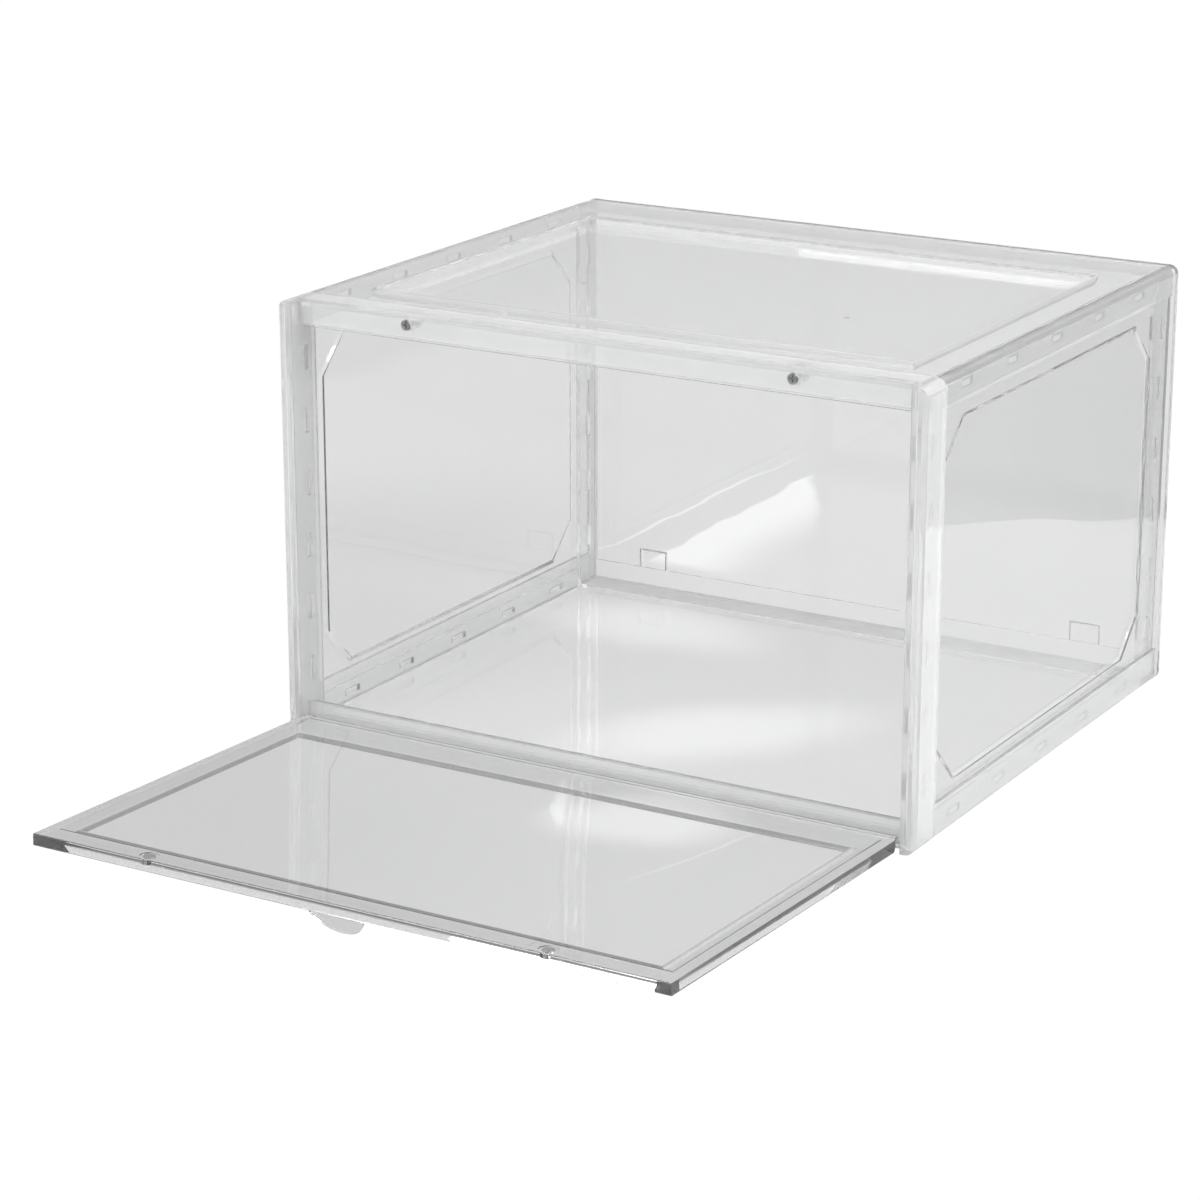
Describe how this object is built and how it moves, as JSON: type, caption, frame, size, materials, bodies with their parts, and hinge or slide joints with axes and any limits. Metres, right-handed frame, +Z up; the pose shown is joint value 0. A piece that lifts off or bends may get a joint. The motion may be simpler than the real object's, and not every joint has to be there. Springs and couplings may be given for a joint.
{
  "type": "shoe box",
  "caption": "Clear plastic drop-front shoe box with a bottom-hinged magnetic door, a finger lip, pressed side panels and a stacking recess in the roof.",
  "frame": {"origin": "centre of the base, on the surface that the case stands on", "axes": "+Z up, -Y towards the door and its opening, +X to the right seen from the front"},
  "size_m": [0.36, 0.5225, 0.228],
  "materials": {
    "clear_plastic": "clear, glossy, slightly milky",
    "frosted_plastic": "clear, slightly frosted",
    "smoke_plastic": "clear, glossy, faintly smoky",
    "nickel": "bright nickel plate",
    "screw_steel": "dark zinc plate"
  },
  "bodies": {
    "case": {"front_frame": "frosted_plastic", "left_side_panel": "clear_plastic", "right_side_panel": "clear_plastic", "top_panel": "clear_plastic", "bottom_panel": "clear_plastic", "back_panel": "clear_plastic", "catch_screws": "screw_steel"},
    "door": {"door_panel": "smoke_plastic", "door_magnet_left": "nickel", "door_magnet_right": "nickel"}
  },
  "joints": [
    {"name": "door_hinge", "type": "hinge", "parent": "case", "child": "door", "pos_m": [0, -0.1485, 0.005], "axis": [-1, 0, 0], "range_deg": [0, 87.95]}
  ]
}
